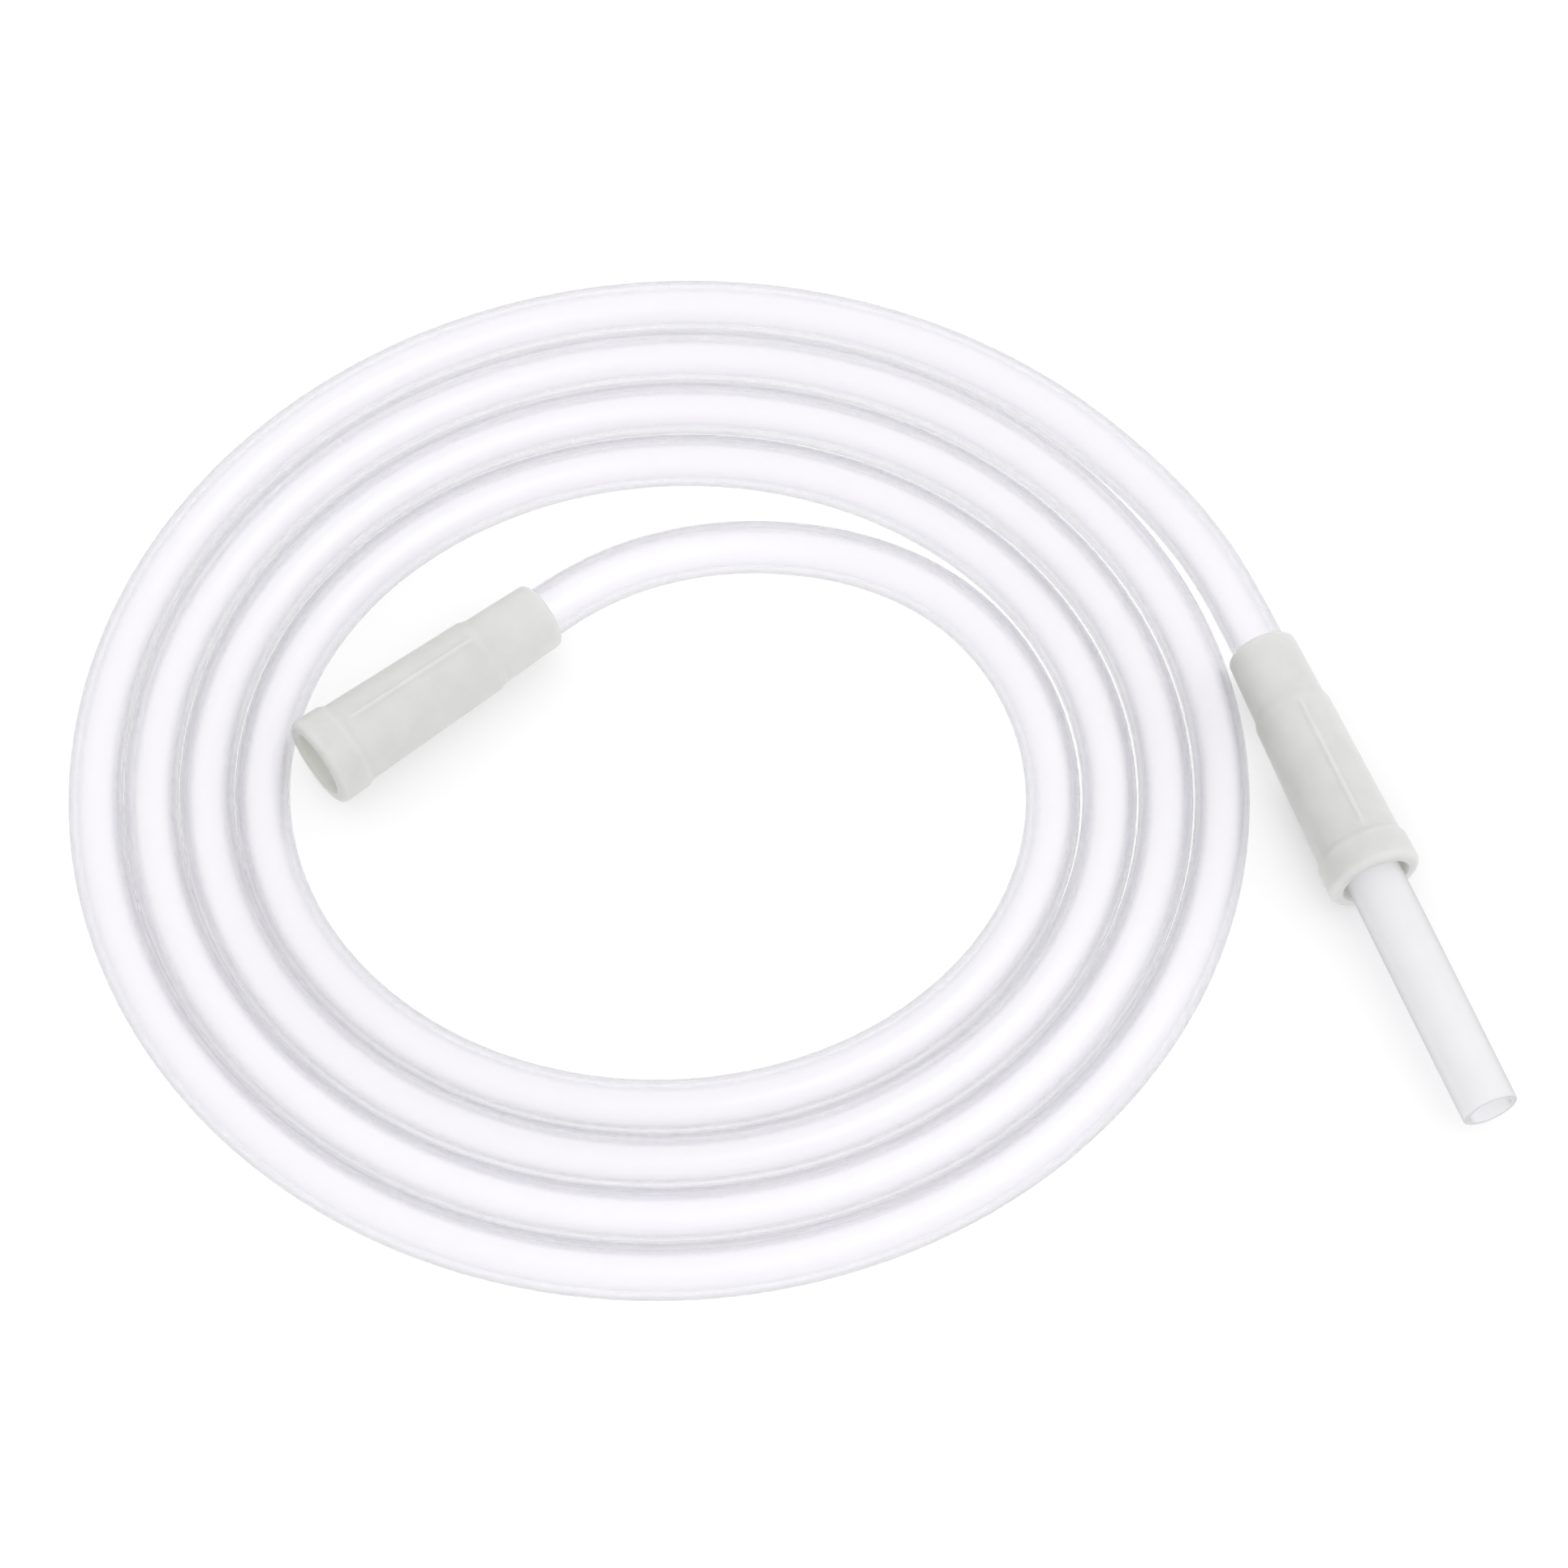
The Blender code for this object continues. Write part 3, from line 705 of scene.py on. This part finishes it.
class TUBING_OT_stage(Operator):
    """Adds the camera, the pale floor and the soft light"""

    bl_idname = "tubing.add_stage"
    bl_label = "Stage"

    def execute(self, context):
        scene = context.scene
        stage = scene.tubing_stage
        self.add_camera(scene, stage)
        self.add_floor(scene, stage)
        self.add_lamp(scene, stage)
        self.add_world(scene, stage)
        scene.view_settings.view_transform = "Standard"
        return {"FINISHED"}

    def away(self, azimuth, elevation):
        """The way from the coil to what looks at it: (sin a cos e, -cos a cos e, sin e)."""
        level = math.cos(elevation)
        return Vector((math.sin(azimuth) * level, -math.cos(azimuth) * level, math.sin(elevation)))

    def add_camera(self, scene, stage):
        """The camera stands at the point looked at, plus its distance times the way to it."""
        camera = bpy.data.cameras.new("camera")
        camera.lens = stage.lens
        camera.sensor_width = 36.0
        camera.clip_start = 0.01
        camera.clip_end = 100.0
        holder = bpy.data.objects.new("camera", camera)
        back = self.away(stage.azimuth, stage.elevation)
        holder.location = Vector(stage.look_at) + back * stage.distance
        holder.rotation_euler = back.to_track_quat("Z", "Y").to_euler()
        scene.collection.objects.link(holder)
        scene.camera = holder

    def add_floor(self, scene, stage):
        """The floor is a level square, (x, y) -> (x, y, -drop)."""
        x, y = np.meshgrid([-0.5, 0.5], [-0.5, 0.5])
        x, y = x.ravel() * stage.floor_size, y.ravel() * stage.floor_size
        mesh = bpy.data.meshes.new("floor")
        mesh.from_pydata(np.column_stack([x, y, np.full(4, -stage.floor_drop)]), [], [(0, 1, 3, 2)])
        mesh.materials.append(pale_floor(stage))
        floor = bpy.data.objects.new("floor", mesh)
        scene.collection.objects.link(floor)

    def add_lamp(self, scene, stage):
        """A square lamp that shines on the coil from its distance times the way to one side."""
        lamp = bpy.data.lights.new("soft_lamp", "AREA")
        lamp.shape = "SQUARE"
        lamp.size = stage.lamp_size
        lamp.energy = stage.lamp_power
        holder = bpy.data.objects.new("soft_lamp", lamp)
        back = self.away(stage.azimuth + stage.lamp_turn, stage.lamp_elevation)
        holder.location = back * stage.lamp_distance
        holder.rotation_euler = back.to_track_quat("Z", "Y").to_euler()
        scene.collection.objects.link(holder)

    def add_world(self, scene, stage):
        """White light from all round: (horizon + zenith h) (1 - (1 - left light) ease(g)).

        h is how far the way it comes from points up, w how far it points to the camera's left,
        and g is (w - 0.1) / 0.9.
        """
        world = bpy.data.worlds.new("soft_studio")
        world.use_nodes = True
        tree = world.node_tree
        tree.nodes.clear()
        way = add_node(tree, "ShaderNodeTexCoord").outputs["Generated"]
        height = add_node(
            tree, "ShaderNodeVectorMath", {0: way}, {1: (0.0, 0.0, 1.0)}, operation="DOT_PRODUCT"
        )
        rise = add_node(
            tree, "ShaderNodeMapRange", {"Value": height.outputs["Value"]},
            {
                "From Min": 0.0, "From Max": 1.0,
                "To Min": stage.horizon, "To Max": stage.horizon + stage.zenith,
            },
        )
        left = self.away(stage.azimuth, 0.0).cross(Vector((0.0, 0.0, 1.0)))
        side = add_node(
            tree, "ShaderNodeVectorMath", {0: way}, {1: left}, operation="DOT_PRODUCT"
        )
        shade = add_node(
            tree, "ShaderNodeMapRange", {"Value": side.outputs["Value"]},
            {"From Min": 0.1, "From Max": 1.0, "To Min": 1.0, "To Max": stage.left_light},
            interpolation_type="SMOOTHSTEP",
        )
        light = add_node(
            tree, "ShaderNodeMath", {0: rise.outputs["Result"], 1: shade.outputs["Result"]},
            operation="MULTIPLY",
        )
        background = add_node(
            tree, "ShaderNodeBackground", {"Strength": light.outputs["Value"]},
            {"Color": (1.0, 1.0, 1.0, 1.0)},
        )
        add_node(tree, "ShaderNodeOutputWorld", {"Surface": background.outputs["Background"]})
        scene.world = world


class TUBING_OT_funnels(Operator):
    """Adds the two milky funnels"""

    bl_idname = "tubing.add_funnels"
    bl_label = "Funnels"

    def execute(self, context):
        scene = context.scene
        funnel = scene.tubing_funnels
        material = moulded_milky_pvc(funnel, self.socket_radius(scene))
        names = ("milky_open_funnel", "milky_adapter_funnel")
        nodes = ("open_funnel", "adapter_funnel")
        flares = (funnel.insertion, funnel.closed_flare)
        for name, node, flare, seat in zip(names, nodes, flares, seats(scene)):
            piece = turned_piece(
                name, self.profile(scene, flare), funnel.sides, seat, funnel.rim / 2,
                self.rib_bump(funnel), material,
            )
            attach(piece, "hose")
            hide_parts(node)
        return {"FINISHED"}

    def socket_radius(self, scene):
        """The hose's radius plus the gap that it fits with."""
        return scene.tubing_hose.diameter / 2 + scene.tubing_funnels.fit_gap

    def barrel(self, funnel):
        """Where the barrel starts and ends, as distances ahead of the funnel's rear."""
        front = funnel.length - funnel.collar_length - funnel.collar_step
        return funnel.sleeve_length + funnel.shoulder_length, front

    def profile(self, scene, flare):
        """The section from the mouth down the outside and back up the bore.

        Each corner is (radius, distance ahead, fillet). The mouth narrows to the adapter's seat
        over the length of the flare.
        """
        funnel = scene.tubing_funnels
        barrel_rear, barrel_front = self.barrel(funnel)
        waist_end = funnel.socket_depth + funnel.waist_length
        seat_radius = scene.tubing_adapter.end / 2 + funnel.fit_gap
        socket_radius = self.socket_radius(scene)
        corners = [
            (funnel.mouth / 2 + funnel.lip, funnel.length, funnel.lip_round),
            (funnel.rim / 2, funnel.length, funnel.rim_round),
            (funnel.collar / 2, barrel_front + funnel.collar_step, funnel.collar_round),
            (funnel.barrel_front / 2, barrel_front, funnel.collar_round),
            (funnel.barrel_rear / 2, barrel_rear, funnel.shoulder_round),
            (funnel.sleeve_front / 2, funnel.sleeve_length, funnel.shoulder_round),
            (funnel.sleeve_rear / 2, 0.0, funnel.rear_round),
            (socket_radius, 0.0, funnel.socket_round),
            (socket_radius, funnel.socket_depth, 0.0),
            (funnel.waist / 2, funnel.socket_depth, 0.0),
            (funnel.waist / 2, waist_end, 0.0),
            (seat_radius, waist_end + funnel.waist_cone, 0.0),
            (seat_radius, funnel.length - flare, 0.0),
            (funnel.mouth / 2, funnel.length - funnel.lip, funnel.lip_round),
        ]
        return filled_profile(rounded_profile(corners), funnel.row_spacing)

    def rib_bump(self, funnel):
        """Two ribs, above and below: height * ease(1 - across / half width) * ease at both ends.

        Only the outer skin has them, which is what lies further out than halfway from the mouth's
        bore to the barrel.
        """
        barrel_rear, barrel_front = self.barrel(funnel)
        first = barrel_rear + funnel.rib_inset
        last = barrel_front - funnel.rib_inset
        skin_radius = (funnel.barrel_rear + funnel.mouth) / 4

        def bump(distance, radius, angle):
            """The ribs' height at each distance ahead, with its radius, and each angle."""
            across = np.minimum(np.abs(angle - np.pi / 2), np.abs(angle - 3 * np.pi / 2)) * radius
            crown = ease(1 - across / funnel.rib_half_width)
            start = ease((distance - first) / funnel.rib_fade)
            end = ease((last - distance) / funnel.rib_fade)
            return (radius > skin_radius) * funnel.rib_height * crown * start * end

        return bump


class TUBING_OT_adapter(Operator):
    """Adds the push-in adapter"""

    bl_idname = "tubing.add_adapter"
    bl_label = "Adapter"

    def execute(self, context):
        scene = context.scene
        funnel = scene.tubing_funnels
        adapter = scene.tubing_adapter
        start = funnel.length - funnel.insertion
        end = funnel.length + adapter.visible
        corners = [
            (adapter.bore / 2, end, adapter.bore_edge),
            (adapter.end / 2, end, adapter.edge),
            (adapter.middle / 2, (start + end) / 2, 0.0),
            (adapter.end / 2, start, adapter.edge),
            (adapter.bore / 2, start, 0.0),
        ]
        profile = filled_profile(rounded_profile(corners), adapter.row_spacing)
        piece = turned_piece(
            "frosted_male_adapter", profile, adapter.sides, seats(scene)[1], funnel.rim / 2,
            no_bump, frosted_adapter_plastic(adapter),
        )
        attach(piece, "adapter")
        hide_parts("male_adapter")
        return {"FINISHED"}


class TUBING_OT_hose(Operator):
    """Adds the coiled hose"""

    bl_idname = "tubing.add_hose"
    bl_label = "Hose"

    def execute(self, context):
        scene = context.scene
        hose = scene.tubing_hose
        open_seat, adapter_seat = seats(scene)
        path = hose_path(hose, scene.tubing_funnels, open_seat, adapter_seat)
        piece = closed_grid("clear_hose", *self.skin(hose, path), extruded_clear_pvc(hose))
        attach(piece, "hose")
        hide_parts("tubing")
        return {"FINISHED"}

    def skin(self, hose, path):
        """The outer wall from end to end, then the bore back again, which closes both ends.

        The draw leaves the wall a few hundredths of a millimetre uneven, by the distance s along
        the hose. The outside is taken in by swing (2 + sin(s / slow) + sin(s / quick + start)), and
        the bore's radius and its place in the wall change by swing sin(s / reach).
        """
        lengths = along(path)
        swing = np.sin(lengths / SLOW_REACH) + np.sin(lengths / QUICK_REACH + QUICK_START)
        outer = hose.diameter / 2 - OUTER_SWING * (2 + swing)
        bore = hose.diameter / 2 - hose.wall + BORE_SWING * np.sin(lengths / BORE_REACH)
        shift = SHIFT_SWING * np.sin(lengths / SHIFT_REACH)
        outside = tube_rings(path, outer, hose.sides)
        inside = tube_rings(path, bore, hose.sides, shift)
        points = np.concatenate([outside, inside[::-1]])
        u = np.concatenate([lengths, lengths[::-1], lengths[:1]])
        radius = np.concatenate([outer, bore[::-1], outer[:1]])
        turn = np.linspace(0.0, 2 * np.pi, hose.sides + 1)
        u = np.broadcast_to(u[:, None], (len(u), hose.sides + 1))
        return points, np.stack([u, radius[:, None] * turn], axis=-1)


class TUBING_PT_panel(Panel):
    """Lists the pieces of the suction tubing and the stage"""

    bl_label = "Suction Tubing"
    bl_idname = "TUBING_PT_panel"
    bl_space_type = "VIEW_3D"
    bl_region_type = "UI"
    bl_category = "Tubing"

    def draw(self, context):
        for operator in OPERATORS:
            self.layout.operator(operator.bl_idname)


SETTINGS = {
    "tubing_hose": HoseSettings,
    "tubing_funnels": FunnelSettings,
    "tubing_adapter": AdapterSettings,
    "tubing_stage": StageSettings,
}
OPERATORS = (TUBING_OT_stage, TUBING_OT_funnels, TUBING_OT_adapter, TUBING_OT_hose)
CLASSES = (*SETTINGS.values(), *OPERATORS, TUBING_PT_panel)


def register():
    for cls in CLASSES:
        bpy.utils.register_class(cls)
    for name, settings in SETTINGS.items():
        setattr(bpy.types.Scene, name, PointerProperty(type=settings))


def unregister():
    for name in SETTINGS:
        delattr(bpy.types.Scene, name)
    for cls in reversed(CLASSES):
        bpy.utils.unregister_class(cls)


def main():
    register()
    bpy.ops.tubing.add_stage()
    bpy.ops.tubing.add_funnels()
    bpy.ops.tubing.add_adapter()
    bpy.ops.tubing.add_hose()


if __name__ == "__main__":
    main()
